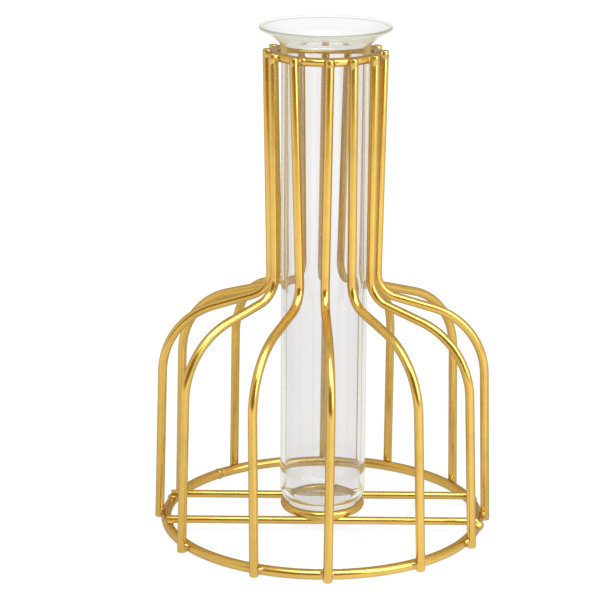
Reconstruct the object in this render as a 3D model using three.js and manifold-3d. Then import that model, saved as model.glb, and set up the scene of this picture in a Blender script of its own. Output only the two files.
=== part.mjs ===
// Hydroponic vase: a flared glass tube standing in a bottle-shaped cage of gold wire.
// Millimetres, +Z up. The origin is on the floor, on the axis of the tube, and -Y faces the viewer.

import * as THREE from "three";
import { mergeVertices } from "three/addons/utils/BufferGeometryUtils.js";
import Module from "manifold-3d";

const wasm = await Module();
wasm.setup();

// Glass tube
const tubeDiameter = 30;
const tubeWall = 1.6;
const tubeLength = 170;
const heelRadius = 6;
const floorThickness = 1.6;
const innerHeelRadius = 5;
const mouthDiameter = 45.2;
const mouthSlope = 32; // degrees above the horizontal
const throatRadius = 4.5; // bend of the outer wall from the straight tube into the mouth
const lipRadius = 1.0; // bead melted along the edge of the mouth

// Wires, by diameter
const ribWire = 3.0;
const neckWire = 2.8;
const baseWire = 3.4;
const barWire = 2.6;
const seatWire = 2.8;

// Welds: crossing wires are pressed into each other, and the solids keep a thin gap there
const weldSink = 0.6;
const weldGap = 0.3;

// Rings
const neckClearance = 1.0; // between the tube and the inside of the neck ring
const neckDrop = 9.6; // from the rim of the mouth down to the neck ring's centre
const baseRingDiameter = 110.6; // on the wire's centre line
const seatRingInset = 1.7; // of the wire's centre line from the tube's outer wall
const seatClearance = 0.3; // between the tube's heel and the seat ring

// Crossbars
const barInset = 0.8; // of each bar from the line through the side of the seat ring
const barOverhang = 0.6; // of each end past the middle of the base ring's wire

// Ribs
const ribCount = 12;
const waistHeight = 84.4; // where the neck line and the slope would meet without a bend
const waistDiameter = 36.6;
const waistBend = 9; // bend radii are measured on the wire's centre line
const shoulderSlope = 17; // degrees below the horizontal
const shoulderBend = 25.8;
const legSplay = 1.75; // degrees off the vertical

// The ribs are set by hand, a little off their even places: degrees at the neck, the waist and the foot
const neckShifts = [4, -2, -4, -3, -3, 4, 0, -1, 4, -1, -3, -2];
const waistShifts = [1, 1, 0, -4, -1, 10, 3, -3, 2, 0, -6, 4];
const footShifts = [2, 5, 3, 0, 4, 5, 0, 5, 4, -1, 4, 7];

// Fineness of the faceted surfaces
const wireSides = 10;
const ringSegments = 60;
const smallRingSegments = 40;
const tubeSegments = 48;
const waistSteps = 6;
const shoulderSteps = 9;
const trimMargin = 1.0; // the ribs are made this much longer, and then trimmed level

// Sizes that follow
const tubeRadius = tubeDiameter / 2;
const boreRadius = tubeRadius - tubeWall;
const mouthRadius = mouthDiameter / 2;
const baseRingRadius = baseRingDiameter / 2;
const baseRingHeight = baseWire / 2;
const neckRingRadius = tubeRadius + neckClearance + neckWire / 2;
const seatRingRadius = tubeRadius - seatRingInset;
const barSpacing = 2 * (seatRingRadius - barInset);
const barHeight = baseWire + barWire / 2 - weldSink;
const seatHeight = barHeight + (barWire + seatWire) / 2 - weldSink;
const neckRadius = neckRingRadius + (neckWire + ribWire) / 2 - weldSink;
const footRadius = baseRingRadius + (baseWire + ribWire) / 2 - weldSink;
const waistRadius = waistDiameter / 2;

// The heel's bend touches the seat ring's wire, apart from the clearance
const heelReach = heelRadius + seatWire / 2 + seatClearance;
const heelOffset = seatRingRadius - (tubeRadius - heelRadius);
const tubeBottom = seatHeight + Math.sqrt(heelReach ** 2 - heelOffset ** 2) - heelRadius;
const tubeTop = tubeBottom + tubeLength;
const neckHeight = tubeTop - neckDrop;
const ribTop = neckHeight + neckWire / 2;

const gold = new THREE.MeshStandardMaterial({ color: 0xd8ad5f, roughness: 0.35, metalness: 1 });
const glass = new THREE.MeshStandardMaterial({
  color: 0xeef2ee,
  roughness: 0.05,
  metalness: 0,
  transparent: true,
  opacity: 0.35,
});

const vase = new THREE.Group();

function addPiece(name, geometry, material) {
  const piece = new THREE.Mesh(geometry, material);
  piece.name = name;
  vase.add(piece);
}

// A closed geometry as a solid that can be cut
function solidOf(geometry) {
  const bare = geometry.clone();
  bare.deleteAttribute("normal");
  bare.deleteAttribute("uv");
  const merged = mergeVertices(bare, 1e-4);
  return new wasm.Manifold(
    new wasm.Mesh({
      numProp: 3,
      vertProperties: merged.attributes.position.array,
      triVerts: new Uint32Array(merged.index.array),
    }),
  );
}

function geometryOf(solid) {
  const mesh = solid.getMesh();
  const geometry = new THREE.BufferGeometry();
  geometry.setAttribute("position", new THREE.BufferAttribute(mesh.vertProperties, 3));
  geometry.setIndex(new THREE.BufferAttribute(mesh.triVerts, 1));
  geometry.computeVertexNormals();
  return geometry;
}

// The solid less every host, each grown by the weld gap
function notched(geometry, grownHosts) {
  const cut = grownHosts.reduce((solid, host) => solid.subtract(solidOf(host)), solidOf(geometry));
  return geometryOf(cut);
}

// Points of a closed circle round a wire's centre, wound so that a lathe's faces point out
function wireSection(radius, centreX, centreY) {
  const points = [];
  for (let side = 0; side <= wireSides; side++) {
    const angle = (2 * Math.PI * (side % wireSides)) / wireSides;
    const x = centreX + radius * Math.cos(angle);
    const y = centreY + radius * Math.sin(angle);
    points.push(new THREE.Vector2(x, y));
  }
  return points;
}

// A lathe turns round its Y axis, so it is stood up along Z
function upright(latheGeometry) {
  return latheGeometry.rotateX(Math.PI / 2);
}

function ringGeometry(ringRadius, wireDiameter, height, segments, growth = 0) {
  const section = wireSection(wireDiameter / 2 + growth, ringRadius, height);
  return upright(new THREE.LatheGeometry(section, segments));
}

// Glass tube: outer wall up from the floor, over the lip, and the inner wall back down
function arcPoints(centreX, centreY, radius, fromDegrees, toDegrees, steps) {
  const points = [];
  for (let step = 0; step <= steps; step++) {
    const angle = THREE.MathUtils.degToRad(fromDegrees + ((toDegrees - fromDegrees) * step) / steps);
    points.push(new THREE.Vector2(centreX + radius * Math.cos(angle), centreY + radius * Math.sin(angle)));
  }
  return points;
}

function tubeProfile() {
  const slope = THREE.MathUtils.degToRad(mouthSlope);
  const lipX = mouthRadius - lipRadius;
  const lipY = tubeTop - lipRadius;
  // The mouth's outer face leaves the throat bend at this slope and runs to the lip's bead
  const throatX = tubeRadius + throatRadius;
  const bendX = throatX - throatRadius * Math.sin(slope);
  const faceX = lipX + lipRadius * Math.sin(slope);
  const faceY = lipY - lipRadius * Math.cos(slope);
  const bendY = faceY - (faceX - bendX) * Math.tan(slope);
  const throatY = bendY - throatRadius * Math.cos(slope);
  const innerBend = throatRadius + tubeWall;
  const innerFloor = tubeBottom + floorThickness;
  return [
    new THREE.Vector2(0, tubeBottom),
    ...arcPoints(tubeRadius - heelRadius, tubeBottom + heelRadius, heelRadius, -90, 0, 6),
    ...arcPoints(throatX, throatY, throatRadius, 180, 90 + mouthSlope, 5),
    ...arcPoints(lipX, lipY, lipRadius, mouthSlope - 90, mouthSlope + 90, 6),
    ...arcPoints(throatX, throatY, innerBend, 90 + mouthSlope, 180, 5),
    ...arcPoints(boreRadius - innerHeelRadius, innerFloor + innerHeelRadius, innerHeelRadius, 0, -90, 5),
    new THREE.Vector2(0, innerFloor),
  ];
}

addPiece("glass_tube", upright(new THREE.LatheGeometry(tubeProfile(), tubeSegments)), glass);

// Rings
const smallRing = (radius, wire, height) => ringGeometry(radius, wire, height, smallRingSegments);
addPiece("neck_ring", smallRing(neckRingRadius, neckWire, neckHeight), gold);
addPiece("base_ring", ringGeometry(baseRingRadius, baseWire, baseRingHeight, ringSegments), gold);

// The hosts that other wires are pressed into
const grownNeck = ringGeometry(neckRingRadius, neckWire, neckHeight, smallRingSegments, weldGap);
const grownBase = ringGeometry(baseRingRadius, baseWire, baseRingHeight, ringSegments, weldGap);

// Crossbars: straight wires across the base ring, one in front of the seat ring's centre, one behind
const barY = barSpacing / 2;
const barHalfLength = Math.sqrt(baseRingRadius ** 2 - barY ** 2) + barOverhang;

function barGeometry(y, growth = 0) {
  const radius = barWire / 2 + growth;
  const rod = new THREE.CylinderGeometry(radius, radius, 2 * barHalfLength, wireSides);
  return rod.rotateZ(Math.PI / 2).translate(0, y, barHeight);
}

addPiece("front_crossbar", notched(barGeometry(-barY), [grownBase]), gold);
addPiece("back_crossbar", notched(barGeometry(barY), [grownBase]), gold);

// Seat ring, let into the crossbars
const seatGeometry = smallRing(seatRingRadius, seatWire, seatHeight);
const grownBars = [barGeometry(-barY, weldGap), barGeometry(barY, weldGap)];
addPiece("seat_ring", notched(seatGeometry, grownBars), gold);

// One rib's line in its own upright plane, x outwards from the tube's axis and y up: the neck line,
// the waist bend, the slope, the shoulder bend and the leg
function cornerArc(before, corner, after, radius, steps) {
  const inward = before.clone().sub(corner).normalize();
  const outward = after.clone().sub(corner).normalize();
  const halfAngle = Math.acos(THREE.MathUtils.clamp(inward.dot(outward), -1, 1)) / 2;
  const setback = radius / Math.tan(halfAngle);
  const bisector = inward.clone().add(outward).normalize();
  const centre = corner.clone().addScaledVector(bisector, radius / Math.sin(halfAngle));
  const start = corner.clone().addScaledVector(inward, setback).sub(centre);
  const end = corner.clone().addScaledVector(outward, setback).sub(centre);
  const turn = Math.PI - 2 * halfAngle;
  const points = [];
  for (let step = 0; step <= steps; step++) {
    const share = step / steps;
    const ray = start.clone().multiplyScalar(Math.sin((1 - share) * turn) / Math.sin(turn));
    ray.addScaledVector(end, Math.sin(share * turn) / Math.sin(turn));
    points.push(ray.add(centre));
  }
  return points;
}

function ribLine() {
  const slope = THREE.MathUtils.degToRad(shoulderSlope);
  const splay = THREE.MathUtils.degToRad(legSplay);
  const top = new THREE.Vector2(neckRadius, ribTop);
  const waist = new THREE.Vector2(waistRadius, waistHeight);
  // Where the slope meets the leg: waist + run * (1, -tan slope) = foot + rise * (-tan splay, 1)
  const run =
    (footRadius - waistRadius - waistHeight * Math.tan(splay)) /
    (1 - Math.tan(slope) * Math.tan(splay));
  const shoulder = new THREE.Vector2(waistRadius + run, waistHeight - run * Math.tan(slope));
  const foot = new THREE.Vector2(footRadius, 0);
  const neckEnd = top.clone().add(top.clone().sub(waist).normalize().multiplyScalar(trimMargin));
  const footEnd = foot.clone().add(foot.clone().sub(shoulder).normalize().multiplyScalar(trimMargin));
  return [
    neckEnd,
    ...cornerArc(top, waist, shoulder, waistBend, waistSteps),
    ...cornerArc(waist, shoulder, foot, shoulderBend, shoulderSteps),
    footEnd,
  ];
}

// A curve whose steps are its own points, so that the bends get more steps than the straights
class PointCurve extends THREE.Curve {
  constructor(points) {
    super();
    this.points = points;
  }
  getUtoTmapping(u) {
    return u;
  }
  getPoint(t, target = new THREE.Vector3()) {
    const place = THREE.MathUtils.clamp(t, 0, 1) * (this.points.length - 1);
    const index = Math.min(Math.floor(place), this.points.length - 2);
    return target.lerpVectors(this.points[index], this.points[index + 1], place - index);
  }
}

// Where a rib stands at one height: on a circle round the tube's axis, off its even place by the shift
function ribPlace(index, radius, shifts) {
  const degrees = (360 * index) / ribCount + shifts[index % shifts.length];
  const angle = THREE.MathUtils.degToRad(degrees);
  return new THREE.Vector3(radius * Math.sin(angle), -radius * Math.cos(angle), 0);
}

// The bent wire stays flat, and its plane passes through its places at the neck, the waist and the foot
function ribPath(index) {
  const neck = ribPlace(index, neckRadius, neckShifts);
  const waist = ribPlace(index, waistRadius, waistShifts);
  const foot = ribPlace(index, footRadius, footShifts);
  const lineNeck = new THREE.Vector3(neckRadius, ribTop, 0);
  const lineWaist = new THREE.Vector3(waistRadius, waistHeight, 0);
  const lineFoot = new THREE.Vector3(footRadius, 0, 0);
  const shares = new THREE.Vector3();
  const points = ribLine().map(({ x, y }) => {
    const linePoint = new THREE.Vector3(x, y, 0);
    THREE.Triangle.getBarycoord(linePoint, lineNeck, lineWaist, lineFoot, shares);
    const place = neck.clone().multiplyScalar(shares.x);
    place.addScaledVector(waist, shares.y).addScaledVector(foot, shares.z);
    return place.setZ(y);
  });
  return new PointCurve(points);
}

// Everything outside the height that the ribs keep, as two slabs that trim their ends level
const slabSize = 4 * footRadius;
const slabAbove = new THREE.BoxGeometry(slabSize, slabSize, slabSize).translate(0, 0, ribTop + slabSize / 2);
const slabBelow = new THREE.BoxGeometry(slabSize, slabSize, slabSize).translate(0, 0, -slabSize / 2);

function ribGeometry(index) {
  const path = ribPath(index);
  const section = new THREE.Shape(wireSection(ribWire / 2, 0, 0).slice(0, wireSides));
  const wire = new THREE.ExtrudeGeometry(section, {
    steps: path.points.length - 1,
    extrudePath: path,
  });
  return notched(wire, [grownNeck, grownBase, slabAbove, slabBelow]);
}

for (let index = 0; index < ribCount; index++) {
  const label = String(index + 1).padStart(2, "0");
  addPiece("rib_" + label, ribGeometry(index), gold);
}

export default vase;
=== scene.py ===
"""Looks of the hydroponic vase: lacquered wires, weld beads, a blown glass tube and a soft studio.

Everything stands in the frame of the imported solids, which gives the wires and the tube their places.
Lengths are in metres, but for the fields that have mm in their names.
"""

import logging
import math
from dataclasses import dataclass, field
from enum import Enum, StrEnum
from functools import partial
from typing import Any, Callable, Iterable, Sequence

import bpy
import numpy as np
from bpy.types import Material, Mesh, Node, NodeSocket, NodeTree, Object
from mathutils import Matrix, Vector


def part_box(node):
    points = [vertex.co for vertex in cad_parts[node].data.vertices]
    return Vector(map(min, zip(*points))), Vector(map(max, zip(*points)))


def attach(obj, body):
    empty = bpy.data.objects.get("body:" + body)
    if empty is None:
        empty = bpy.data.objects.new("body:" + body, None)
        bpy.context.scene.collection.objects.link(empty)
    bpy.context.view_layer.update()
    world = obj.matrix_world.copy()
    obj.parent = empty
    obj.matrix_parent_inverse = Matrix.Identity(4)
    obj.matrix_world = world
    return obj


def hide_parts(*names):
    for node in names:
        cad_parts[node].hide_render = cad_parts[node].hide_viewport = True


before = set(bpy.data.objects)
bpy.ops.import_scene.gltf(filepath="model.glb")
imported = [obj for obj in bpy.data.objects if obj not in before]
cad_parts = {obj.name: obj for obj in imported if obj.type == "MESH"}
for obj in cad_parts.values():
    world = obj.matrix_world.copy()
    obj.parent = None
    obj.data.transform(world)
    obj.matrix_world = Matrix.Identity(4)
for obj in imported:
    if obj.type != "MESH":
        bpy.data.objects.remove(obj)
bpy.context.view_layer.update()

LOG = logging.getLogger("hydroponic_vase")
MM = 0.001
FLOOR_HEIGHT = 0.0
# Farther than any piece reaches, for a cut or a span that is not to limit anything.
FAR = 1.0
STAND_BODY = "stand"
TUBE_BODY = "tube"
MATHS = "ShaderNodeMath"
VECTOR_MATHS = "ShaderNodeVectorMath"
MAP_RANGE = "ShaderNodeMapRange"
NOISE = "ShaderNodeTexNoise"
BUMP = "ShaderNodeBump"
PRINCIPLED = "ShaderNodeBsdfPrincipled"
OUTPUT = "ShaderNodeOutputMaterial"
SEPARATE = "ShaderNodeSeparateXYZ"
COMBINE = "ShaderNodeCombineXYZ"
STORED = "GeometryNodeInputNamedAttribute"
MIX = "ShaderNodeMix"
# The Mix node has an A and a B for each kind of value, and these are the numbers of its two colours.
COLOUR_A = 6
COLOUR_B = 7
SMOOTH = {"interpolation_type": "SMOOTHSTEP"}
UP = (0.0, 0.0, 1.0)
ALONG = (1.0, 0.0, 0.0)
ORIGIN = (0.0, 0.0, 0.0)
Point = tuple[float, float]


class Stored(StrEnum):
    """Names of the attributes that the meshes carry for Geometry Nodes and for the finishes."""

    BEND = "bend"
    THICKNESS = "thickness"
    STRAIGHT = "straight"
    HEAT = "heat"
    TURN = "turn"


class Side(Enum):
    """A side of the stand, as seen in the photograph, and the sign of X there."""

    LEFT = -1
    RIGHT = 1


@dataclass(frozen=True)
class Ramp:
    """A level that changes from low to high while a value goes from start to end.

    Each of the four is a number, a socket or a node.
    """

    start: Any
    end: Any
    low: Any = 0.0
    high: Any = 1.0

    def of(self, value: Any) -> dict[str, Any]:
        """Give the inputs of the Map Range node that turns a value into the level."""
        ends = {"From Min": self.start, "From Max": self.end, "To Min": self.low, "To Max": self.high}
        return {"Value": value, **ends}


def linear(code: str) -> tuple[float, float, float, float]:
    """Turn an sRGB hex value into the linear colour that a shader reads.

    Args:
        code: Six hex digits after a hash sign.

    Returns:
        Red, green and blue from 0 to 1, and an alpha of 1.
    """
    channels = (int(code[start : start + 2], 16) / 255 for start in (1, 3, 5))
    red, green, blue = (c / 12.92 if c <= 0.04045 else ((c + 0.055) / 1.055) ** 2.4 for c in channels)
    return red, green, blue, 1.0


def feed(tree: NodeTree, node: Node, inputs: dict | Sequence) -> None:
    """Set or link inputs of a node.

    Args:
        tree: The tree that holds the node.
        node: The node.
        inputs: For each input a value, a socket, or a node whose first output in use is meant, either
            by the input's name or number or in the order of the inputs.
    """
    named = inputs if isinstance(inputs, dict) else dict(enumerate(inputs))
    for name, value in named.items():
        if isinstance(value, Node):
            value = next(socket for socket in value.outputs if socket.enabled)
        if isinstance(value, NodeSocket):
            tree.links.new(value, node.inputs[name])
        else:
            node.inputs[name].default_value = value


def add_node(tree: NodeTree, kind: str, inputs: dict | Sequence = (), **settings: Any) -> Any:
    """Add a node to a shader or geometry tree.

    Args:
        tree: The tree that gets the node.
        kind: Blender's name for the node's type.
        inputs: What its inputs get, in a form that feed takes.
        **settings: Properties of the node itself.

    Returns:
        The node.
    """
    node = tree.nodes.new(kind)
    for name, value in settings.items():
        setattr(node, name, value)
    feed(tree, node, inputs)
    return node


def cleared(data: Any) -> Callable:
    """Clear the nodes of a new material or world.

    Args:
        data: The material or the world.

    Returns:
        The function that adds a node to it.
    """
    data.use_nodes = True
    data.node_tree.nodes.clear()
    return partial(add_node, data.node_tree)


def new_tree(name: str, sockets: dict[str, str]) -> tuple[NodeTree, Callable, Any]:
    """Start a geometry tree with a geometry input and output.

    Args:
        name: Name of the tree.
        sockets: Kind of each further input, such as Float, by the input's name.

    Returns:
        The tree, the function that adds a node to it, and the sockets that its inputs come in by.
    """
    tree = bpy.data.node_groups.new(name, "GeometryNodeTree")
    for label, kind in {"Geometry": "Geometry", **sockets}.items():
        tree.interface.new_socket(label, in_out="INPUT", socket_type="NodeSocket" + kind)
    tree.interface.new_socket("Geometry", in_out="OUTPUT", socket_type="NodeSocketGeometry")
    add = partial(add_node, tree)
    return tree, add, add("NodeGroupInput").outputs


def end_tree(add: Callable, geometry: Node, finish: NodeSocket) -> None:
    """End a geometry tree with smooth faces, real meshes in place of instances, and the finish.

    Args:
        add: The function that adds a node to the tree.
        geometry: Node whose geometry goes out.
        finish: Socket that the material comes in by.
    """
    smooth = add("GeometryNodeSetShadeSmooth", {"Geometry": geometry})
    real = add("GeometryNodeRealizeInstances", {"Geometry": smooth})
    dressed = add("GeometryNodeSetMaterial", {"Geometry": real, "Material": finish})
    add("NodeGroupOutput", {"Geometry": dressed})


def levelled(add: Callable, geometry: Node, limits: dict[str, Any]) -> Node:
    """Move the points of a mesh that lie past a height back to it.

    Args:
        add: The function that adds a node to the tree.
        geometry: Node whose mesh is levelled.
        limits: Each height, under MAXIMUM where it is the lowest and MINIMUM where it is the highest.

    Returns:
        The node that the levelled mesh comes from.
    """
    place = add("GeometryNodeInputPosition")
    parts = add(SEPARATE, [place]).outputs
    height = parts["Z"]
    for operation, limit in limits.items():
        height = add(MATHS, [height, limit], operation=operation)
    moved = add(COMBINE, {"X": parts["X"], "Y": parts["Y"], "Z": height})
    return add("GeometryNodeSetPosition", {"Geometry": geometry, "Position": moved})


def grown(name: str, seed_mesh: Mesh, tree: NodeTree, values: dict[str, Any]) -> Object:
    """Run a geometry tree on a mesh and keep the result as a plain mesh object.

    Args:
        name: Name of the finished piece.
        seed_mesh: Mesh that the tree starts from.
        tree: The geometry tree.
        values: Value of each named input of the tree.

    Returns:
        The finished object, at the origin and without modifiers.
    """
    seed = linked(name + "_seed", seed_mesh)
    modifier = seed.modifiers.new("grow", "NODES")
    modifier.node_group = tree
    for item in tree.interface.items_tree:
        if item.in_out == "INPUT" and item.name in values:
            modifier[item.identifier] = values[item.name]
    graph = bpy.context.evaluated_depsgraph_get()
    mesh = bpy.data.meshes.new_from_object(seed.evaluated_get(graph))
    bpy.data.objects.remove(seed)
    mesh.name = name
    return linked(name, mesh)


def linked(name: str, data: Any) -> Object:
    """Put a mesh, lamp or camera into the scene.

    Args:
        name: Name of its object.
        data: The mesh, lamp or camera.

    Returns:
        The object.
    """
    item = bpy.data.objects.new(name, data)
    bpy.context.scene.collection.objects.link(item)
    return item


def joined(name: str, pieces: Sequence[Object]) -> Object:
    """Join finished pieces into one.

    Args:
        name: Name of the whole.
        pieces: The finished pieces.

    Returns:
        The whole.
    """
    if len(pieces) > 1:
        with bpy.context.temp_override(active_object=pieces[0], selected_editable_objects=list(pieces)):
            bpy.ops.object.join()
    pieces[0].name = pieces[0].data.name = name
    return pieces[0]


def place_piece(piece: Object, body: str, nodes: Iterable[str] = ()) -> None:
    """Hand a finished piece to the frame.

    Args:
        piece: The finished object.
        body: Body that it rides on.
        nodes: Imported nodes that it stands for.
    """
    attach(piece, body)
    for node in nodes:
        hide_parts(node)
    LOG.info("%s: %d faces on %s", piece.name, len(piece.data.polygons), body)


def slice_centre(node: str, height: float) -> Vector:
    """Find where the middle of an upright wire crosses a level plane.

    Args:
        node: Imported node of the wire.
        height: Height of the plane.

    Returns:
        The middle of the cut through the node.
    """
    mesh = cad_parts[node].data
    crossings = []
    for edge in mesh.edges:
        low, high = sorted((mesh.vertices[index].co for index in edge.vertices), key=lambda co: co.z)
        if low.z < height <= high.z:
            crossings.append(low.lerp(high, (height - low.z) / (high.z - low.z)))
    cut = np.array(crossings)
    return Vector((cut.min(axis=0) + cut.max(axis=0)) / 2)


def at_height(lower: Vector, upper: Vector, height: float) -> Vector:
    """Give the point at one height on the line through two points."""
    return lower.lerp(upper, (height - lower.z) / (upper.z - lower.z))


def azimuth(point: Vector) -> float:
    """Give the angle of a point round the tube's axis, from the front towards the right."""
    return math.atan2(point.x, -point.y)


def ring_point(radius: float, angle: float, height: float) -> Vector:
    """Give the point on a level circle round the tube's axis, at an angle from the front."""
    return Vector((radius * math.sin(angle), -radius * math.cos(angle), height))


@dataclass(frozen=True)
class GoldLacquer:
    """Drawn steel wire, plated bright and sprayed with a tinted gold lacquer.

    To the eye it is a satin gold, with brown edges where light crosses more of the lacquer on its way
    out, and with soft whiter lights from the lacquer's own surface. The grain is the orange peel of
    the sprayed coat, drawn three times as coarse as the real 0.1 mm so that it shows. The slow
    patches are the coat's uneven depth, and the heat tint is where the welding warmed the plating.
    The patterns follow the coordinates stored on the piece, or where there are none, the object's.
    """

    name: str = "satin gold lacquer on drawn steel wire"
    colour: str = "#D3A831"
    pale: str = "#DBB03E"
    deep: str = "#CB9D2C"
    edge: str = "#B49A44"
    heat_tint: str = "#AA843A"
    pale_span: Ramp = Ramp(0.35, 0.65)
    deep_span: Ramp = Ramp(0.45, 0.8)
    heat_span: Ramp = Ramp(0.05, 1.1)
    roughness: float = 0.2
    roughness_spread: float = 0.08
    grain_span: tuple[float, float] = (0.3, 0.7)
    grain_mm: float = 0.32
    grain_stretch: float = 0.35
    grain_detail: float = 3.0
    grain_harshness: float = 0.6
    grain_height_mm: float = 0.008
    patch_mm: float = 9.0
    patch_detail: float = 2.0
    coat: float = 0.65
    coat_roughness: float = 0.19
    coat_ior: float = 2.0
    coordinates: Stored | None = Stored.STRAIGHT

    def material(self) -> Material:
        """Build the material.

        Returns:
            The material.
        """
        material = bpy.data.materials.new(self.name)
        add = cleared(material)
        if self.coordinates:
            place = add("ShaderNodeAttribute", attribute_name=self.coordinates).outputs["Vector"]
        else:
            place = add("ShaderNodeTexCoord").outputs["Object"]
        stretch = {"Vector": place, "Scale": (1.0, 1.0, self.grain_stretch)}
        stretched = add("ShaderNodeMapping", stretch)
        peel = {"Vector": stretched, "Scale": 1 / (self.grain_mm * MM), "Detail": self.grain_detail}
        grain = add(NOISE, {**peel, "Roughness": self.grain_harshness})
        slow = {"Vector": place, "Scale": 1 / (self.patch_mm * MM), "Detail": self.patch_detail}
        patches = add(NOISE, slow)
        heat = add("ShaderNodeAttribute", attribute_name=Stored.HEAT).outputs["Fac"]
        colour: Any = linear(self.colour)
        for pattern, tint, span in (
            (grain, self.pale, self.pale_span),
            (patches, self.deep, self.deep_span),
            (heat, self.heat_tint, self.heat_span),
        ):
            share = add(MAP_RANGE, span.of(pattern))
            tints = {"Factor": share, COLOUR_A: colour, COLOUR_B: linear(tint)}
            colour = add(MIX, tints, data_type="RGBA")
        spread = self.roughness_spread / 2
        satin = Ramp(*self.grain_span, self.roughness - spread, self.roughness + spread)
        rough = add(MAP_RANGE, satin.of(grain))
        skin = {"Height": grain, "Distance": self.grain_height_mm * MM, "Strength": 1.0}
        metal = {
            "Base Color": colour,
            "Metallic": 1.0,
            "Roughness": rough,
            "Specular Tint": linear(self.edge),
            "Coat Weight": self.coat,
            "Coat Roughness": self.coat_roughness,
            "Coat IOR": self.coat_ior,
            "Normal": add(BUMP, skin),
        }
        add(OUTPUT, {"Surface": add(PRINCIPLED, metal)})
        return material


@dataclass(frozen=True)
class BlownGlass:
    """Clear borosilicate tube glass, worked in the flame.

    To the eye it is colourless through the wall and greenish grey where light runs lengthwise through
    it, at the melted rim and round the heel, with faint ripples from the flame. Light that is caught
    between the walls is cut short after a few reflections, at the tone of the white surroundings that
    it would meet in the end.
    """

    name: str = "clear flame-worked borosilicate glass"
    tint: str = "#F4F3F4"
    roughness: float = 0.0
    ior: float = 1.47
    absorbed: str = "#CBD0B8"
    density: float = 45.0
    trapped_after: int = 2
    trapped_glow: str = "#EDEEE4"
    ripple_mm: float = 9.0
    ripple_height_mm: float = 0.004
    ripple_detail: float = 1.0

    def material(self) -> Material:
        """Build the material.

        Returns:
            The material.
        """
        material = bpy.data.materials.new(self.name)
        add = cleared(material)
        place = add("ShaderNodeTexCoord").outputs["Object"]
        pattern = {"Vector": place, "Scale": 1 / (self.ripple_mm * MM), "Detail": self.ripple_detail}
        ripples = add(NOISE, pattern)
        skin = {"Height": ripples, "Distance": self.ripple_height_mm * MM, "Strength": 1.0}
        glass = {
            "Base Color": linear(self.tint),
            "Roughness": self.roughness,
            "IOR": self.ior,
            "Transmission Weight": 1.0,
            "Normal": add(BUMP, skin),
        }
        shader = add(PRINCIPLED, glass)
        depth = add("ShaderNodeLightPath").outputs["Glossy Depth"]
        limit = self.trapped_after - 0.5
        trapped = add(MATHS, [depth, limit], operation="GREATER_THAN")
        glow = add("ShaderNodeEmission", {"Color": linear(self.trapped_glow), "Strength": 1.0})
        surface = add("ShaderNodeMixShader", [trapped, shader, glow])
        body = {"Color": linear(self.absorbed), "Density": self.density}
        volume = add("ShaderNodeVolumeAbsorption", body)
        add(OUTPUT, {"Surface": surface, "Volume": volume})
        return material


@dataclass
class Wire:
    """One wire of the stand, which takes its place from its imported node."""

    node: str
    wire_mm: float = 2.8
    roundings_mm: tuple[float, float] = (0.22, 0.22)
    bends_mm: tuple[float, ...] = ()

    @property
    def wire_radius(self) -> float:
        """Radius of the wire."""
        return self.wire_mm / 2 * MM

    @property
    def cut_height(self) -> float:
        """Height at which the wire is cut level, which is out of reach unless the wire is a rib."""
        return FAR

    @property
    def corners(self) -> list[Vector]:
        """Points of the centre line from end to end, where its straights would meet."""
        raise NotImplementedError


@dataclass
class RoundWire(Wire):
    """A ring bent from wire, with its two ends meeting at the seam."""

    seam_degrees: float = 0.0
    steps: int = 96
    seam_gap_mm: float = 0.16

    @property
    def radius(self) -> float:
        """Radius of the ring on the wire's centre line."""
        low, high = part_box(self.node)
        return (high.x - low.x) / 2 - self.wire_radius

    @property
    def height(self) -> float:
        """Height of the wire's centre line."""
        low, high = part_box(self.node)
        return (low.z + high.z) / 2

    @property
    def corners(self) -> list[Vector]:
        """Points round the ring, from one end of the wire to the other."""
        opening = self.seam_gap_mm * MM / self.radius
        start = math.radians(self.seam_degrees) + opening / 2
        sweep = 2 * math.pi - opening
        angles = [start + sweep * step / self.steps for step in range(self.steps + 1)]
        return [ring_point(self.radius, angle, self.height) for angle in angles]


@dataclass
class Crossbar(Wire):
    """A straight wire across the base ring, with the radius of the bead at its left and right end."""

    wire_mm: float = 2.6
    roundings_mm: tuple[float, float] = (0.25, 0.25)
    beads_mm: tuple[float, float] = (0.95, 0.95)

    @property
    def corners(self) -> list[Vector]:
        """Left and right end of the centre line."""
        low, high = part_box(self.node)
        middle = (low + high) / 2
        return [Vector((x, middle.y, middle.z)) for x in (low.x, high.x)]


@dataclass
class Rib(Wire):
    """One bent wire from the neck ring to the base ring, cut level at both ends."""

    wire_mm: float = 3.0
    roundings_mm: tuple[float, float] = (0.35, 0.32)
    bends_mm: tuple[float, ...] = (9.0, 25.8)
    waist_height_mm: float = 84.4
    slope_degrees: float = 17.0
    neck_slices_mm: tuple[float, float] = (112.0, 160.0)
    leg_slices_mm: tuple[float, float] = (8.0, 30.0)

    @property
    def cut_height(self) -> float:
        """Height of the rib's top."""
        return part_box(self.node)[1].z

    @property
    def corners(self) -> list[Vector]:
        """Top, waist, shoulder and foot of the centre line, where its straights would meet."""
        neck = [slice_centre(self.node, height * MM) for height in self.neck_slices_mm]
        leg = [slice_centre(self.node, height * MM) for height in self.leg_slices_mm]
        top = at_height(*neck, self.cut_height)
        waist = at_height(*neck, self.waist_height_mm * MM)
        foot = at_height(*leg, FLOOR_HEIGHT)
        splay = (leg[0].xy.length - leg[1].xy.length) / (leg[1].z - leg[0].z)
        drop = math.tan(math.radians(self.slope_degrees))
        run = (foot.xy.length - waist.xy.length - waist.z * splay) / (1 - drop * splay)
        shoulder = at_height(*leg, waist.z - run * drop)
        return [top, waist, shoulder, foot]


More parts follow.
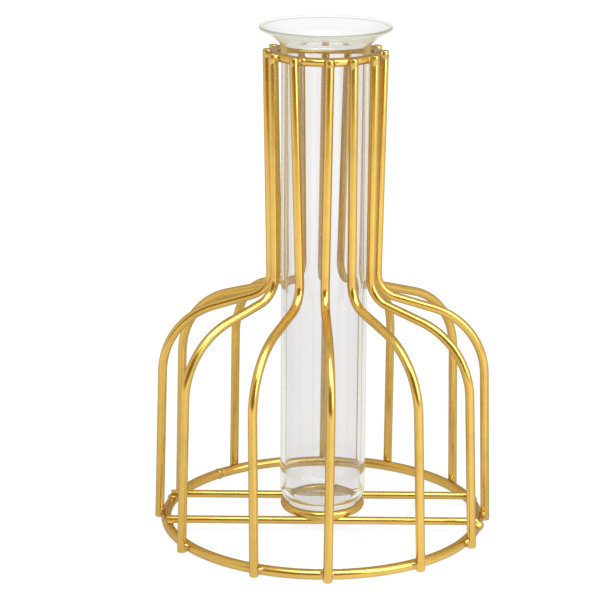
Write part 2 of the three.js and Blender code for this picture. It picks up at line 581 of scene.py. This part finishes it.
@dataclass
class WireMaker:
    """Turns a centre line into a round wire with bends and rounded ends, trimmed level.

    It stores on each point where it would lie on the straight wire, and how near a weld it is.
    """

    sides: int = 28
    bend_steps: int = 14
    end_steps: int = 4
    heat_reach_mm: float = 6.0
    lacquer_mm: float = 0.07
    tree: NodeTree = field(init=False)

    def __post_init__(self) -> None:
        """Build the geometry tree that all wires share."""
        sizes = dict.fromkeys(("Wire Radius", "Heat Reach", "Cut Height"), "Float")
        counts = dict.fromkeys(("Sides", "Bend Steps"), "Int")
        sockets = {**sizes, **counts, "Welds": "Object", "Finish": "Material"}
        tree, add, given = new_tree("round wire", sockets)
        bend, thickness = (
            add(STORED, {"Name": name}, data_type="FLOAT")
            for name in (Stored.BEND, Stored.THICKNESS)
        )
        line = add("GeometryNodeMeshToCurve", {"Mesh": given["Geometry"]})
        bends = {"Curve": line, "Count": given["Bend Steps"], "Radius": bend}
        bent = add("GeometryNodeFilletCurve", bends, mode="POLY")
        section = {"Resolution": given["Sides"], "Radius": given["Wire Radius"]}
        circle = add("GeometryNodeCurvePrimitiveCircle", section, mode="RADIUS")
        length = add("GeometryNodeSplineParameter").outputs["Length"]
        place = add("GeometryNodeInputPosition")
        noted = []
        for curve, kind, value in ((bent, "FLOAT", length), (circle, "VECTOR", place)):
            noted.append(add("GeometryNodeCaptureAttribute"))
            noted[-1].capture_items.new(kind, "Noted")
            feed(tree, noted[-1], [curve, value])
        along, around = (node.outputs for node in noted)
        drawn = {"Curve": along[0], "Profile Curve": around[0], "Scale": thickness, "Fill Caps": True}
        mesh = add("GeometryNodeCurveToMesh", drawn)
        lengthwise = add(COMBINE, {"Z": along[1]})
        straight = add(VECTOR_MATHS, [around[1], lengthwise], operation="ADD")
        welds = add("GeometryNodeObjectInfo", {"Object": given["Welds"]}).outputs["Geometry"]
        near = add("GeometryNodeProximity", {"Geometry": welds}, target_element="POINTS")
        warmth = Ramp(0.0, given["Heat Reach"], 1.0, 0.0).of(near.outputs["Distance"])
        heat = add(MAP_RANGE, warmth, **SMOOTH)
        notes = {Stored.STRAIGHT: ("FLOAT_VECTOR", straight), Stored.HEAT: ("FLOAT", heat)}
        for name, (kind, value) in notes.items():
            note = {"Geometry": mesh, "Name": name, "Value": value}
            mesh = add("GeometryNodeStoreNamedAttribute", note, data_type=kind, domain="POINT")
        trimmed = levelled(add, mesh, {"MAXIMUM": FLOOR_HEIGHT, "MINIMUM": given["Cut Height"]})
        end_tree(add, trimmed, given["Finish"])
        self.tree = tree

    def line(self, wire: Wire) -> Mesh:
        """Make the centre line of a wire, with the points that round off its two cut ends.

        Args:
            wire: The wire's sizes and places.

        Returns:
            A mesh of one chain of edges, with the bend and the thickness stored on its points.
        """
        corners, radius = wire.corners, wire.wire_radius
        bends = [bend * MM for bend in wire.bends_mm] or [0.0] * (len(corners) - 2)
        turns = [math.pi / 2 * step / (self.end_steps - 1) for step in range(self.end_steps)]
        leads = [
            [(rounding * (1 - math.cos(a)), 1 - rounding / radius * (1 - math.sin(a))) for a in turns]
            for rounding in (rounding_mm * MM for rounding_mm in wire.roundings_mm)
        ]
        start = (corners[1] - corners[0]).normalized()
        finish = (corners[-2] - corners[-1]).normalized()
        points = [corners[0] + start * distance for distance, _ in leads[0]]
        points += corners[1:-1]
        points += [corners[-1] + finish * distance for distance, _ in reversed(leads[1])]
        thickness = [scale for _, scale in leads[0]] + [1.0] * len(bends)
        thickness += [scale for _, scale in reversed(leads[1])]
        ends = [0.0] * self.end_steps
        mesh = bpy.data.meshes.new("centre_line")
        mesh.from_pydata(points, [(index, index + 1) for index in range(len(points) - 1)], [])
        for name, values in ((Stored.BEND, [*ends, *bends, *ends]), (Stored.THICKNESS, thickness)):
            mesh.attributes.new(name, "FLOAT", "POINT").data.foreach_set("value", values)
        return mesh

    def make(self, wire: Wire, welds: Object, finish: Material) -> Object:
        """Make a wire along its centre line.

        Args:
            wire: The wire's sizes and places.
            welds: Object with one point for each weld.
            finish: Material of the wire.

        Returns:
            The finished wire.
        """
        values = {
            "Wire Radius": wire.wire_radius + self.lacquer_mm * MM,
            "Heat Reach": self.heat_reach_mm * MM,
            "Cut Height": wire.cut_height,
            "Sides": self.sides,
            "Bend Steps": self.bend_steps,
            "Welds": welds,
            "Finish": finish,
        }
        return grown(wire.node + "_wire", self.line(wire), self.tree, values)


@dataclass(frozen=True)
class Joint:
    """A place where a straight wire, the guest, is pressed into a ring's wire and welded to it.

    The joint's own axes are X along the ring, Y outwards and Z up, and its origin is in the middle of
    the ring's wire. The guest's span is cut square, and the bead is a ball of weld metal.
    """

    ring: RoundWire
    angle: float
    guest_radius: float
    bead_radius: float
    bead_point: Sequence[float] = ORIGIN
    guest_point: Sequence[float] = ORIGIN
    guest_direction: Sequence[float] = ALONG
    guest_low: float = -FAR
    guest_high: float = FAR

    @property
    def place(self) -> Vector:
        """The middle of the ring's wire at the joint."""
        return ring_point(self.ring.radius, self.angle, self.ring.height)


@dataclass
class WeldMaker:
    """Melts the crossing of two wires into one bead of weld metal.

    The metal is a cloud whose density is positive inside the two wires, the bead and the smooth
    hollows between them. Its skin is turned to a mesh, which then gets the beads' slight lumps.
    """

    fillet_mm: float = 1.3
    voxel_mm: float = 0.16
    lump_mm: float = 1.1
    lump_height_mm: float = 0.07
    lump_detail: float = 1.0
    mean_noise: float = 0.5
    empty_density: float = -1.0
    tree: NodeTree = field(init=False)

    def __post_init__(self) -> None:
        """Build the geometry tree that all welds share."""
        radii = ("Ring Radius", "Host Radius", "Guest Radius", "Bead Radius", "Fillet", "Reach")
        numbers = dict.fromkeys((*radii, "Guest Low", "Guest High", "Lump Scale", "Lump Height"), "Float")
        vectors = dict.fromkeys(("Guest Point", "Guest Direction", "Bead Point"), "Vector")
        sockets = {**numbers, **vectors, "Voxels": "Int", "Finish": "Material"}
        tree, add, given = new_tree("weld bead", sockets)
        place = add("GeometryNodeInputPosition")
        metal = self._ring_distance(add, place, given)
        bead, reach = (
            add(MATHS, [add(VECTOR_MATHS, span, operation="DISTANCE"), radius], operation="SUBTRACT")
            for span, radius in (
                ([place, given["Bead Point"]], given["Bead Radius"]),
                ([place, ORIGIN], given["Reach"]),
            )
        )
        for addition in (self._rod_distance(add, place, given), bead):
            inputs = [metal, addition, given["Fillet"]]
            metal = add(MATHS, inputs, operation="SMOOTH_MIN")
        kept = add(MATHS, [metal, reach], operation="MAXIMUM")
        density = add(MATHS, [kept, -1.0], operation="MULTIPLY")
        corner = add(COMBINE, dict.fromkeys("XYZ", given["Reach"]))
        opposite = add(VECTOR_MATHS, {"Vector": corner, "Scale": -1.0}, operation="SCALE")
        voxels = {f"Resolution {axis}": given["Voxels"] for axis in "XYZ"}
        cube = {"Density": density, "Background": self.empty_density, "Min": opposite, "Max": corner}
        cloud = add("GeometryNodeVolumeCube", {**cube, **voxels})
        skin = {"Volume": cloud, "Threshold": 0.0}
        blob = add("GeometryNodeVolumeToMesh", skin, resolution_mode="GRID")
        turned = add(STORED, {"Name": Stored.TURN}, data_type="FLOAT_VECTOR")
        spread = {"Points": given["Geometry"], "Instance": blob, "Rotation": turned}
        copies = add("GeometryNodeInstanceOnPoints", spread)
        whole = add("GeometryNodeRealizeInstances", {"Geometry": copies})
        pattern = {"Vector": place, "Scale": given["Lump Scale"], "Detail": self.lump_detail}
        lumps = add(NOISE, pattern)
        swell = add(MATHS, [lumps, self.mean_noise], operation="SUBTRACT")
        height = add(MATHS, [swell, given["Lump Height"]], operation="MULTIPLY")
        normal = add("GeometryNodeInputNormal")
        shift = add(VECTOR_MATHS, {"Vector": normal, "Scale": height}, operation="SCALE")
        lumpy = add("GeometryNodeSetPosition", {"Geometry": whole, "Offset": shift})
        end_tree(add, levelled(add, lumpy, {"MAXIMUM": FLOOR_HEIGHT}), given["Finish"])
        self.tree = tree

    @staticmethod
    def _ring_distance(add: Callable, place: Node, given: Any) -> Node:
        """Measure from each place to the surface of the ring's wire, whose middle passes the origin.

        Args:
            add: The function that adds a node to the tree.
            place: Node that the places come from.
            given: The tree's inputs.

        Returns:
            The node that the distance comes from.
        """
        parts = add(SEPARATE, [place]).outputs
        outward = add(MATHS, [parts["Y"], given["Ring Radius"]], operation="ADD")
        flat = add(COMBINE, {"X": parts["X"], "Y": outward})
        span = add(VECTOR_MATHS, [flat], operation="LENGTH")
        beyond = add(MATHS, [span, given["Ring Radius"]], operation="SUBTRACT")
        across = add(COMBINE, {"X": beyond, "Y": parts["Z"]})
        reach = add(VECTOR_MATHS, [across], operation="LENGTH")
        return add(MATHS, [reach, given["Host Radius"]], operation="SUBTRACT")

    @staticmethod
    def _rod_distance(add: Callable, place: Node, given: Any) -> Node:
        """Measure from each place to the surface of the guest wire, with its ends cut square.

        Args:
            add: The function that adds a node to the tree.
            place: Node that the places come from.
            given: The tree's inputs.

        Returns:
            The node that the distance comes from.
        """
        apart = add(VECTOR_MATHS, [place, given["Guest Point"]], operation="SUBTRACT")
        both = [apart, given["Guest Direction"]]
        along = add(VECTOR_MATHS, both, operation="DOT_PRODUCT")
        aside = add(VECTOR_MATHS, both, operation="CROSS_PRODUCT")
        reach = add(VECTOR_MATHS, [aside], operation="LENGTH")
        surface, past_high, past_low = (
            add(MATHS, [first, second], operation="SUBTRACT")
            for first, second in (
                (reach, given["Guest Radius"]),
                (along, given["Guest High"]),
                (given["Guest Low"], along),
            )
        )
        for limit in (past_high, past_low):
            surface = add(MATHS, [surface, limit], operation="MAXIMUM")
        return surface

    def beads(self, name: str, joints: Sequence[Joint], reach_mm: float, finish: Material) -> Object:
        """Make the beads of joints that differ only in their place round one ring.

        Args:
            name: Name of the piece.
            joints: The joints.
            reach_mm: How far from the middle of each joint the bead metal is made.
            finish: Material of the beads.

        Returns:
            All beads as one finished piece.
        """
        first = joints[0]
        mesh = bpy.data.meshes.new(name + "_places")
        mesh.from_pydata([joint.place for joint in joints], [], [])
        turns = [component for joint in joints for component in (0.0, 0.0, math.pi + joint.angle)]
        stored = mesh.attributes.new(Stored.TURN, "FLOAT_VECTOR", "POINT")
        stored.data.foreach_set("vector", turns)
        # A field such as guest_point goes to the input Guest Point, and the tree has none for the rest.
        places = {label.replace("_", " ").title(): value for label, value in vars(first).items()}
        values = {
            **places,
            "Ring Radius": first.ring.radius,
            "Host Radius": first.ring.wire_radius,
            "Fillet": self.fillet_mm * MM,
            "Reach": reach_mm * MM,
            "Voxels": round(2 * reach_mm / self.voxel_mm),
            "Lump Scale": 1 / (self.lump_mm * MM),
            "Lump Height": 2 * self.lump_height_mm * MM,
            "Finish": finish,
        }
        return grown(name, mesh, self.tree, values)


@dataclass
class WireStand:
    """The welded stand: two rings and twelve ribs, and the crossbars with the seat ring on them.

    A bead's place is in its joint's axes, and a share is of the way from the middle of the ring's wire
    to the middle of the guest's. The guest's metal ends a little before the guest does.
    """

    rib_count: int = 12
    weld_sink_mm: float = 0.6
    guest_end_mm: float = 0.1
    neck_end_mm: float = 0.5
    neck_bead_share: float = 0.8
    neck_bead_drop_mm: float = 1.75
    neck_bead_mm: float = 1.5
    foot_bead_aside_mm: float = 1.5
    foot_bead_share: float = 0.55
    foot_bead_rise_mm: float = 0.5
    foot_bead_mm: float = 0.8
    bar_bead_outward_mm: float = 0.9
    bar_bead_share: float = 0.45
    seat_bead_outward_mm: float = 0.2
    seat_bead_share: float = 0.5
    seat_bead_mm: float = 0.5
    seam_rise_mm: float = 0.13
    seam_half_mm: float = 0.25
    seam_bead_mm: float = 0.8
    neck_reach_mm: float = 4.2
    base_reach_mm: float = 3.4
    seat_reach_mm: float = 6.5
    seam_reach_mm: float = 3.0
    neck: RoundWire = field(default_factory=lambda: RoundWire("neck_ring", seam_degrees=-24.0))
    base: RoundWire = field(
        default_factory=lambda: RoundWire("base_ring", wire_mm=3.4, seam_degrees=-135.7, steps=144)
    )
    seat: RoundWire = field(default_factory=lambda: RoundWire("seat_ring", seam_degrees=155.0))
    front_bar: Crossbar = field(default_factory=lambda: Crossbar("front_crossbar", beads_mm=(0.95, 1.9)))
    back_bar: Crossbar = field(default_factory=lambda: Crossbar("back_crossbar"))
    ribs: list[Rib] = field(init=False)

    def __post_init__(self) -> None:
        """List the ribs."""
        self.ribs = [Rib(f"rib_{number:02d}") for number in range(1, self.rib_count + 1)]

    def rib_offset(self, ring: RoundWire) -> float:
        """Give the distance from the middle of a ring's wire to that of a rib outside it."""
        return ring.wire_radius + self.ribs[0].wire_radius - self.weld_sink_mm * MM

    def neck_joints(self) -> list[Joint]:
        """List the welds of the ribs' tops on the neck ring.

        Returns:
            The joints.
        """
        offset = self.rib_offset(self.neck)
        cut = self.ribs[0].cut_height - self.neck.height
        return [
            Joint(
                ring=self.neck,
                angle=azimuth(rib.corners[0]),
                guest_radius=rib.wire_radius,
                guest_point=(0.0, offset, 0.0),
                guest_direction=UP,
                guest_high=cut - self.neck_end_mm * MM,
                bead_radius=self.neck_bead_mm * MM,
                bead_point=(0.0, offset * self.neck_bead_share, cut - self.neck_bead_drop_mm * MM),
            )
            for rib in self.ribs
        ]

    def foot_joints(self, side: Side) -> list[Joint]:
        """List the welds of the feet on one side of the stand, with their beads on that side of them.

        Args:
            side: The side of the stand.

        Returns:
            The joints.
        """
        offset = self.rib_offset(self.base)
        aside = side.value * self.foot_bead_aside_mm * MM
        angles = [azimuth(rib.corners[-1]) for rib in self.ribs]
        return [
            Joint(
                ring=self.base,
                angle=angle,
                guest_radius=self.ribs[0].wire_radius,
                guest_point=(0.0, offset, 0.0),
                guest_direction=UP,
                guest_low=self.guest_end_mm * MM - self.base.height,
                bead_radius=self.foot_bead_mm * MM,
                bead_point=(aside, offset * self.foot_bead_share, self.foot_bead_rise_mm * MM),
            )
            for angle in angles
            if (angle > 0) == (side is Side.RIGHT)
        ]

    def bar_joint(self, bar: Crossbar, side: Side) -> Joint:
        """Give the weld of one end of a crossbar on the base ring.

        Args:
            bar: The crossbar.
            side: The side of the stand that the end is on.

        Returns:
            The joint.
        """
        index = list(Side).index(side)
        end = bar.corners[index]
        crossing = Vector((math.sqrt(self.base.radius**2 - end.y**2) * side.value, end.y, 0.0))
        angle = azimuth(crossing)
        lift = end.z - self.base.height
        overhang = abs(end.x) - abs(crossing.x)
        return Joint(
            ring=self.base,
            angle=angle,
            guest_radius=bar.wire_radius,
            guest_point=(0.0, 0.0, lift),
            guest_direction=Matrix.Rotation(-(math.pi + angle), 3, "Z") @ Vector((side.value, 0.0, 0.0)),
            guest_high=overhang - self.guest_end_mm * MM,
            bead_radius=bar.beads_mm[index] * MM,
            bead_point=(0.0, self.bar_bead_outward_mm * MM, lift * self.bar_bead_share),
        )

    def seat_joint(self, bar: Crossbar) -> Joint:
        """Give the weld of the seat ring on one crossbar, which it crosses at a low angle.

        Args:
            bar: The crossbar.

        Returns:
            The joint.
        """
        start = bar.corners[0]
        drop = start.z - self.seat.height
        return Joint(
            ring=self.seat,
            angle=azimuth(Vector((0.0, start.y, 0.0))),
            guest_radius=bar.wire_radius,
            guest_point=(0.0, abs(start.y) - self.seat.radius, drop),
            bead_radius=self.seat_bead_mm * MM,
            bead_point=(0.0, self.seat_bead_outward_mm * MM, drop * self.seat_bead_share),
        )

    def seam_joint(self, ring: RoundWire) -> Joint:
        """Give the raised butt weld where the two ends of a ring meet.

        Args:
            ring: The ring.

        Returns:
            The joint.
        """
        return Joint(
            ring=ring,
            angle=math.radians(ring.seam_degrees),
            guest_radius=ring.wire_radius + self.seam_rise_mm * MM,
            guest_low=-self.seam_half_mm * MM,
            guest_high=self.seam_half_mm * MM,
            bead_radius=self.seam_bead_mm * MM,
        )

    def make(self, wire_finish: Material, weld_finish: Material) -> None:
        """Make all wires and their welds.

        Args:
            wire_finish: Material of the wires.
            weld_finish: Material of the weld beads.
        """
        rings = (self.neck, self.base, self.seat)
        bars = (self.front_bar, self.back_bar)
        neck = [self.neck_joints()]
        feet = [self.foot_joints(side) for side in Side]
        ends = [[self.bar_joint(bar, side)] for bar in bars for side in Side]
        seats = [[self.seat_joint(bar)] for bar in bars]
        seams = [[self.seam_joint(ring)] for ring in rings]
        # The seat ring's small welds leave no heat tint on the wires.
        hot = [joint.place for joints in (*neck, *feet, *ends, *seams) for joint in joints]
        mesh = bpy.data.meshes.new("weld_points")
        mesh.from_pydata(hot, [], [])
        welds = bpy.data.objects.new("weld_points", mesh)
        bender = WireMaker()
        for wire in (*rings, *bars, *self.ribs):
            place_piece(bender.make(wire, welds, wire_finish), STAND_BODY, [wire.node])
        bpy.data.objects.remove(welds)
        melter = WeldMaker()
        for name, groups, reach in (
            ("neck_welds", neck, self.neck_reach_mm),
            ("foot_welds", feet, self.base_reach_mm),
            ("bar_welds", ends, self.base_reach_mm),
            ("seat_welds", seats, self.seat_reach_mm),
            ("seam_welds", seams, self.seam_reach_mm),
        ):
            beads = [melter.beads(f"{name}_{i}", group, reach, weld_finish) for i, group in enumerate(groups)]
            place_piece(joined(name, beads), STAND_BODY)


@dataclass
class GlassTube:
    """The blown tube with its thick floor, rounded heel and flared mouth."""

    node: str = "glass_tube"
    diameter_mm: float = 30.0
    wall_mm: float = 1.6
    heel_mm: float = 6.0
    floor_mm: float = 1.6
    inner_heel_mm: float = 5.0
    mouth_mm: float = 45.2
    mouth_slope_degrees: float = 32.0
    throat_mm: float = 4.5
    lip_mm: float = 0.7
    lip_bulge_degrees: float = 40.0
    lip_fillet_mm: float = 0.5
    arc_step_degrees: float = 6.0
    segments: int = 144

    def arc(self, centre: Point, radius: float, start: float, end: float) -> list[Point]:
        """List the points of an arc of the profile.

        Args:
            centre: Centre of the arc.
            radius: Radius of the arc.
            start: Angle that it starts at, in degrees.
            end: Angle that it ends at, in degrees.

        Returns:
            The points.
        """
        steps = max(2, math.ceil(abs(end - start) / self.arc_step_degrees))
        angles = [math.radians(start + (end - start) * step / steps) for step in range(steps + 1)]
        return [(centre[0] + radius * math.cos(a), centre[1] + radius * math.sin(a)) for a in angles]

    def beside(self, point: Point, other: Point) -> Point:
        """Give the point of the profile that lies a fillet away from one point, towards another."""
        share = self.lip_fillet_mm / math.dist(point, other)
        return point[0] + (other[0] - point[0]) * share, point[1] + (other[1] - point[1]) * share

    def profile(self) -> list[Point]:
        """List the profile's points, as radius and height in millimetres above the tube's bottom.

        Returns:
            The outer wall up from the floor, over the lip, and the inner wall back down.
        """
        low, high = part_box(self.node)
        length = (high.z - low.z) / MM
        radius = self.diameter_mm / 2
        bore = radius - self.wall_mm
        slope = math.radians(self.mouth_slope_degrees)
        lip = (self.mouth_mm / 2 - self.lip_mm, length - self.lip_mm)
        throat_x = radius + self.throat_mm
        bend_x = throat_x - self.throat_mm * math.sin(slope)
        face = (lip[0] + self.lip_mm * math.sin(slope), lip[1] - self.lip_mm * math.cos(slope))
        bend_y = face[1] - (face[0] - bend_x) * math.tan(slope)
        throat = (throat_x, bend_y - self.throat_mm * math.cos(slope))
        turned = 90 + self.mouth_slope_degrees
        bulge = self.lip_bulge_degrees
        inner_bottom = self.floor_mm + self.inner_heel_mm
        outside = self.arc(throat, self.throat_mm, 180, turned)
        bead = self.arc(lip, self.lip_mm, turned - 180 - bulge, turned + bulge)
        inside = self.arc(throat, self.throat_mm + self.wall_mm, turned, 180)
        return [
            *self.arc((radius - self.heel_mm, self.heel_mm), self.heel_mm, -90, 0),
            *outside,
            self.beside(bead[0], outside[-1]),
            *bead,
            self.beside(bead[-1], inside[0]),
            *inside,
            *self.arc((bore - self.inner_heel_mm, inner_bottom), self.inner_heel_mm, 0, -90),
        ]

    def make(self, finish: Material) -> None:
        """Turn the profile round the tube's axis and close both floors.

        Args:
            finish: Material of the glass.
        """
        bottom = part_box(self.node)[0].z
        turns = [2 * math.pi * step / self.segments for step in range(self.segments)]
        verts = [
            ring_point(radius * MM, angle, bottom + height * MM)
            for radius, height in self.profile()
            for angle in turns
        ]
        faces = []
        last = len(verts) - self.segments
        for near in range(0, last, self.segments):
            far = near + self.segments
            for step in range(self.segments):
                after = (step + 1) % self.segments
                faces.append((near + step, near + after, far + after, far + step))
        for first, height, flipped in ((0, bottom, True), (last, bottom + self.floor_mm * MM, False)):
            verts.append(Vector((0.0, 0.0, height)))
            middle = len(verts) - 1
            for step in range(self.segments):
                a, b = first + step, first + (step + 1) % self.segments
                faces.append((middle, b, a) if flipped else (middle, a, b))
        mesh = bpy.data.meshes.new("glass_tube_blown")
        mesh.from_pydata(verts, [], faces)
        mesh.shade_smooth()
        mesh.materials.append(finish)
        place_piece(linked("glass_tube_blown", mesh), TUBE_BODY, [self.node])


@dataclass(frozen=True)
class SoftBox:
    """A lamp with a large white face, a little cooler than the tent."""

    name: str
    centre: tuple[float, float, float]
    target: tuple[float, float, float]
    size: tuple[float, float]
    brightness: float
    colour: str = "#D8ECFF"

    def make(self) -> None:
        """Hang the lamp, with the power that gives its face this brightness."""
        data = bpy.data.lights.new(self.name, "AREA")
        data.shape = "RECTANGLE"
        data.size, data.size_y = self.size
        data.color = linear(self.colour)[:3]
        data.energy = self.brightness * math.pi * self.size[0] * self.size[1]
        lamp = linked(self.name, data)
        lamp.location = self.centre
        aim = Vector(self.target) - Vector(self.centre)
        lamp.rotation_euler = aim.to_track_quat("-Z", "Y").to_euler()


@dataclass(frozen=True)
class WhiteTable:
    """Matt white table top, which a glow lifts to white for the camera and through the glass.

    The paint is written as a grey, and the glow brings the rest of its white. Together they pass
    white a little, so only the object's own shadow stays below it. For polished metal the glow has
    painted light in it: a painted pool of lamp light, brightest in front on the lamp's side, and
    painted shade, dimmer behind the object. The ramps run over metres: clear_of_glass to either
    side, the ramp of painted shade along Y, and the others away from the middle. The pair
    towards_lamp is a cosine of the angle from the lamp's side.
    """

    name: str = "matt white table"
    paint: str = "#6F6F6F"
    glow: Ramp = Ramp(0.2, 0.5, 0.87, 1.0)
    half_width: float = 4.0
    drop_mm: float = 0.1
    clear_of_glass: Ramp = Ramp(0.1, 0.25, 1.0, 0.0)
    # Painted shade: the glow that metal sees is dimmer behind the object, where its shadow falls.
    backward: Ramp = Ramp(-0.09, 0.0, 1.0, 0.79)
    # Painted pool of lamp light: the glow that metal sees is brighter towards the lamp's side.
    lamp_degrees: float = 36.0
    towards_lamp: tuple[float, float] = (0.65, 1.0)
    unlit: Ramp = Ramp(0.2, 0.5, 0.86, 1.08)
    brightest: Ramp = Ramp(0.2, 0.5, 1.13, 1.2)

    def material(self) -> Material:
        """Build the material.

        Returns:
            The material.
        """
        material = bpy.data.materials.new(self.name)
        add = cleared(material)
        path = add("ShaderNodeLightPath").outputs
        place = add("ShaderNodeTexCoord").outputs["Object"]
        parts = add(SEPARATE, [place]).outputs
        aside = add(MATHS, [parts["X"]], operation="ABSOLUTE")
        outward = add(VECTOR_MATHS, [place], operation="NORMALIZE")
        lamp_side = ring_point(1.0, math.radians(self.lamp_degrees), 0.0)
        facing = add(VECTOR_MATHS, [outward, lamp_side], operation="DOT_PRODUCT")
        span = add(VECTOR_MATHS, [place], operation="LENGTH")
        near = add(MAP_RANGE, self.clear_of_glass.of(aside), **SMOOTH)
        # Painted shade behind the object, seen only in reflections.
        shade = add(MAP_RANGE, self.backward.of(parts["Y"]), **SMOOTH)
        unlit = add(MAP_RANGE, self.unlit.of(span), **SMOOTH)
        brightest = add(MAP_RANGE, self.brightest.of(span), **SMOOTH)
        level = add(MAP_RANGE, self.glow.of(span), **SMOOTH)
        # Painted pool of lamp light, brighter towards the lamp's side, seen only in reflections.
        lit = add(MAP_RANGE, Ramp(*self.towards_lamp, unlit, brightest).of(facing), **SMOOTH)
        through = add(MATHS, [path["Is Transmission Ray"], near], operation="MULTIPLY")
        seen = add(MATHS, [path["Is Camera Ray"], through], operation="MAXIMUM")
        white = add(MATHS, [seen, level], operation="MULTIPLY")
        shaded = add(MATHS, [shade, lit], operation="MULTIPLY")
        glossy = add(MATHS, [shaded, path["Is Glossy Ray"]], operation="MULTIPLY")
        strength = add(MATHS, [white, glossy], operation="MAXIMUM")
        paint = add("ShaderNodeBsdfDiffuse", {"Color": linear(self.paint)})
        glow = add("ShaderNodeEmission", {"Strength": strength})
        surface = add("ShaderNodeAddShader", [paint, glow])
        add(OUTPUT, {"Surface": surface})
        return material

    def make(self) -> None:
        """Lay the table just below the object."""
        half, height = self.half_width, -self.drop_mm * MM
        mesh = bpy.data.meshes.new("floor")
        corners = ((-half, -half), (half, -half), (half, half), (-half, half))
        mesh.from_pydata([(x, y, height) for x, y in corners], [], [(0, 1, 2, 3)])
        mesh.materials.append(self.material())
        linked("floor", mesh)


@dataclass(frozen=True)
class Tent:
    """The world: a soft white tent round the table.

    The camera sees it white, and so does the glass, low down behind the object. The gold and the glass
    otherwise see it near white at the sides, a little dimmer between them and high up behind, and warm
    where the camera looks in. The ramps run over parts of the direction that a ray goes in.
    """

    name: str = "tent"
    seen: str = "#FFFFFF"
    dark: str = "#A58C5C"
    light: str = "#FFFBF2"
    backdrop: Ramp = Ramp(0.6, 0.9)
    low_down: Ramp = Ramp(0.15, 0.4, 1.0, 0.0)
    away_degrees: float = 170.0
    away: Ramp = Ramp(-0.95, -0.45)
    sideways: Ramp = Ramp(0.0, 0.8, 0.76, 0.95)
    upward: Ramp = Ramp(0.05, 0.3, 0.0, 0.2)
    rearward: Ramp = Ramp(0.0, 0.4)

    def make(self) -> None:
        """Hang the tent."""
        world = bpy.data.worlds.new(self.name)
        bpy.context.scene.world = world
        add = cleared(world)
        path = add("ShaderNodeLightPath").outputs
        place = add("ShaderNodeTexCoord").outputs["Generated"]
        parts = add(SEPARATE, [place]).outputs
        aside = add(MATHS, [parts["X"]], operation="ABSOLUTE")
        away = ring_point(1.0, math.radians(self.away_degrees), 0.0)
        facing = add(VECTOR_MATHS, [place, away], operation="DOT_PRODUCT")
        backdrop = add(MAP_RANGE, self.backdrop.of(parts["Y"]), **SMOOTH)
        below = add(MAP_RANGE, self.low_down.of(parts["Z"]), **SMOOTH)
        clear = add(MAP_RANGE, self.away.of(facing), **SMOOTH)
        level = add(MAP_RANGE, self.sideways.of(aside), **SMOOTH)
        above = add(MAP_RANGE, self.upward.of(parts["Z"]), **SMOOTH)
        rear = add(MAP_RANGE, self.rearward.of(parts["Y"]), **SMOOTH)
        screen = add(MATHS, [below, backdrop], operation="MULTIPLY")
        through = add(MATHS, [path["Is Transmission Ray"], screen], operation="MULTIPLY")
        seen = add(MATHS, [path["Is Camera Ray"], through], operation="MAXIMUM")
        tints = {"Factor": clear, COLOUR_A: linear(self.dark), COLOUR_B: linear(self.light)}
        tone = add(MIX, tints, data_type="RGBA")
        top = add(MATHS, [above, rear], operation="MULTIPLY")
        fade = add(MATHS, [1.0, top], operation="SUBTRACT")
        strength = add(MATHS, [fade, level], operation="MULTIPLY")
        dim = add("ShaderNodeBackground", {"Color": tone, "Strength": strength})
        white = add("ShaderNodeBackground", {"Color": linear(self.seen), "Strength": 1.0})
        mixed = add("ShaderNodeMixShader", [seen, dim, white])
        add("ShaderNodeOutputWorld", {"Surface": mixed})


@dataclass
class Studio:
    """A white table in a soft white tent, with the photograph's viewing angle."""

    distance: float = 0.76919
    camera_height: float = 0.3032
    pitch_degrees: float = 16.13
    roll_degrees: float = 0.44
    focal_pixels: float = 2313.1
    image_pixels: float = 600.0
    centre_column: float = 323.84
    sensor_mm: float = 36.0
    nearest: float = 0.01
    table: WhiteTable = WhiteTable()
    tent: Tent = Tent()
    lamps: tuple[SoftBox, ...] = (
        SoftBox("overhead_softbox", (0.06, -0.42, 0.78), (0.0, 0.0, 0.05), (0.7, 0.56), 4.5),
        SoftBox("right_softbox", (0.56, -0.47, 0.44), (0.0, 0.0, 0.0), (0.62, 0.66), 3.0),
    )

    def make(self) -> None:
        """Set up the camera, the lamps, the table and the tent."""
        self.camera()
        for item in (*self.lamps, self.table, self.tent):
            item.make()
        bpy.context.scene.view_settings.view_transform = "Standard"

    def camera(self) -> None:
        """Place the camera where the photograph was taken from."""
        data = bpy.data.cameras.new("camera")
        data.sensor_width = self.sensor_mm
        data.lens = self.focal_pixels / self.image_pixels * self.sensor_mm
        data.shift_x = (self.image_pixels / 2 - self.centre_column) / self.image_pixels
        data.clip_start = self.nearest
        camera = linked("camera", data)
        tilt = Matrix.Rotation(math.radians(90 - self.pitch_degrees), 4, "X")
        roll = Matrix.Rotation(math.radians(self.roll_degrees), 4, "Z")
        place = Matrix.Translation((0.0, -self.distance, self.camera_height))
        camera.matrix_world = place @ tilt @ roll
        bpy.context.scene.camera = camera


def main() -> None:
    """Make the studio and the object."""
    logging.basicConfig(level=logging.INFO)
    Studio().make()
    # Weld metal is rougher and browner than drawn wire, and spreads the lights under the same lacquer.
    weld_metal = GoldLacquer(
        name="gold lacquer over weld metal",
        colour="#C69E3A",
        pale="#D4AE48",
        deep="#AA8634",
        roughness=0.3,
        grain_height_mm=0.015,
        grain_stretch=1.0,
        coordinates=None,
    )
    WireStand().make(GoldLacquer().material(), weld_metal.material())
    GlassTube().make(BlownGlass().material())


if __name__ == "__main__":
    main()
